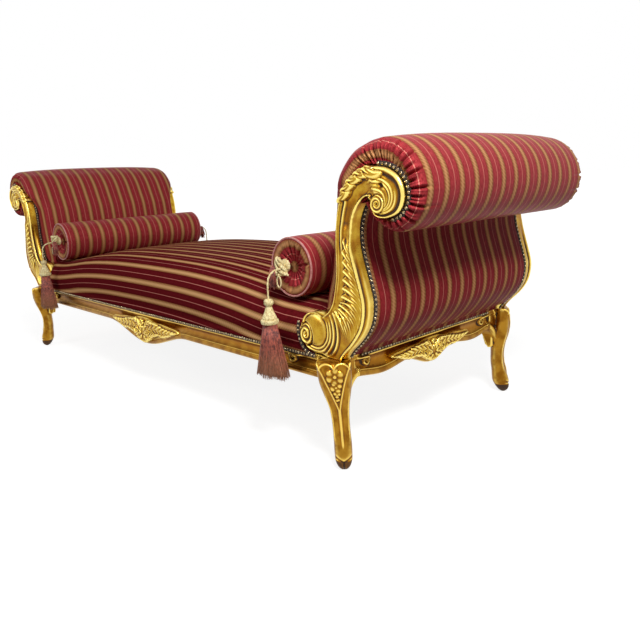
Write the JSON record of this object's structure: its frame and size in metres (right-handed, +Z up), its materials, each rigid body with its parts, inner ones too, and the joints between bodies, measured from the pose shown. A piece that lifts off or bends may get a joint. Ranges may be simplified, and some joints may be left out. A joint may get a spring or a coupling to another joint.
{
  "type": "recamier",
  "caption": "Backless daybed with two outward-scrolling ends on cabriole legs, a crowned striped seat and loose tasselled bolsters.",
  "frame": {"origin": "on the floor, under the middle of the seat", "axes": "+X along the length towards the right end, +Y from the front to the rear, +Z up"},
  "size_m": [2.3122, 0.8466, 0.7668],
  "materials": {
    "gilt_wood": "carved beech under burnished gold leaf, rubbed to a warm brown in the hollows",
    "gilt_carving": "carved beech under bright gold leaf with a dark patina in the recesses",
    "beech": "plain sawn beech",
    "nail_trim": "close rows of antique brass dome nails on a dark gimp",
    "damask_seat": "crimson satin with gold brocade stripes along the length",
    "damask_upright": "crimson satin with gold brocade stripes up and over the ends",
    "damask_bolster": "crimson satin with gold brocade stripes round the bolster",
    "cream_braid": "twisted cream and gold rayon cord",
    "tassel_fringe": "rose and gold cut fringe under a cream moulded head",
    "jute_webbing": "plain jute webbing and canvas",
    "cambric": "black cambric"
  },
  "bodies": {
    "frame": {"front_rail": "gilt_wood", "front_carving": "gilt_carving", "front_nail_trim": "nail_trim", "rear_rail": "gilt_wood", "rear_carving": "gilt_carving", "rear_nail_trim": "nail_trim", "end_rail_left": "gilt_wood", "end_carving_left": "gilt_carving", "end_nail_trim_left": "nail_trim", "top_rail_left": "beech", "arm_rail_left": "beech", "seat_brace_left": "beech", "end_canvas_left": "jute_webbing", "inner_pad_left": "damask_upright", "roll_pad_left": "damask_upright", "outer_panel_left": "damask_upright", "end_rail_right": "gilt_wood", "end_carving_right": "gilt_carving", "end_nail_trim_right": "nail_trim", "top_rail_right": "beech", "arm_rail_right": "beech", "seat_brace_right": "beech", "end_canvas_right": "jute_webbing", "inner_pad_right": "damask_upright", "roll_pad_right": "damask_upright", "outer_panel_right": "damask_upright", "leg_front_left": "gilt_wood", "scroll_upright_front_left": "gilt_carving", "upright_nail_trim_front_left": "nail_trim", "corner_block_front_left": "beech", "leg_rear_left": "gilt_wood", "scroll_upright_rear_left": "gilt_carving", "upright_nail_trim_rear_left": "nail_trim", "corner_block_rear_left": "beech", "leg_front_right": "gilt_wood", "scroll_upright_front_right": "gilt_carving", "upright_nail_trim_front_right": "nail_trim", "corner_block_front_right": "beech", "leg_rear_right": "gilt_wood", "scroll_upright_rear_right": "gilt_carving", "upright_nail_trim_rear_right": "nail_trim", "corner_block_rear_right": "beech", "seat_webbing": "jute_webbing", "dust_cover": "cambric", "seat_pad": "damask_seat"},
    "bolster_left": {"bolster_left": "damask_bolster", "rosette_front_left": "cream_braid", "rosette_rear_left": "cream_braid"},
    "bolster_right": {"bolster_right": "damask_bolster", "rosette_front_right": "cream_braid", "rosette_rear_right": "cream_braid"},
    "tassel_front_left": {"tassel_cord_front_left": "cream_braid", "tassel_front_left": "tassel_fringe"},
    "tassel_rear_left": {"tassel_cord_rear_left": "cream_braid", "tassel_rear_left": "tassel_fringe"},
    "tassel_front_right": {"tassel_cord_front_right": "cream_braid", "tassel_front_right": "tassel_fringe"},
    "tassel_rear_right": {"tassel_cord_rear_right": "cream_braid", "tassel_rear_right": "tassel_fringe"}
  },
  "joints": [
    {"name": "lift_bolster_left", "type": "slide", "parent": "frame", "child": "bolster_left", "axis": [0, 0, 1], "range_m": [0, 0.15]},
    {"name": "lift_bolster_right", "type": "slide", "parent": "frame", "child": "bolster_right", "axis": [0, 0, 1], "range_m": [0, 0.15]},
    {"name": "swing_tassel_front_left", "type": "hinge", "parent": "bolster_left", "child": "tassel_front_left", "pos_m": [-0.722, -0.3526, 0.4653], "axis": [0, 1, 0], "range_deg": [-40, 15]},
    {"name": "swing_tassel_rear_left", "type": "hinge", "parent": "bolster_left", "child": "tassel_rear_left", "pos_m": [-0.722, 0.3526, 0.4653], "axis": [0, 1, 0], "range_deg": [-40, 15]},
    {"name": "swing_tassel_front_right", "type": "hinge", "parent": "bolster_right", "child": "tassel_front_right", "pos_m": [0.722, -0.3526, 0.4653], "axis": [0, 1, 0], "range_deg": [-15, 40]},
    {"name": "swing_tassel_rear_right", "type": "hinge", "parent": "bolster_right", "child": "tassel_rear_right", "pos_m": [0.722, 0.3526, 0.4653], "axis": [0, 1, 0], "range_deg": [-15, 40]}
  ]
}
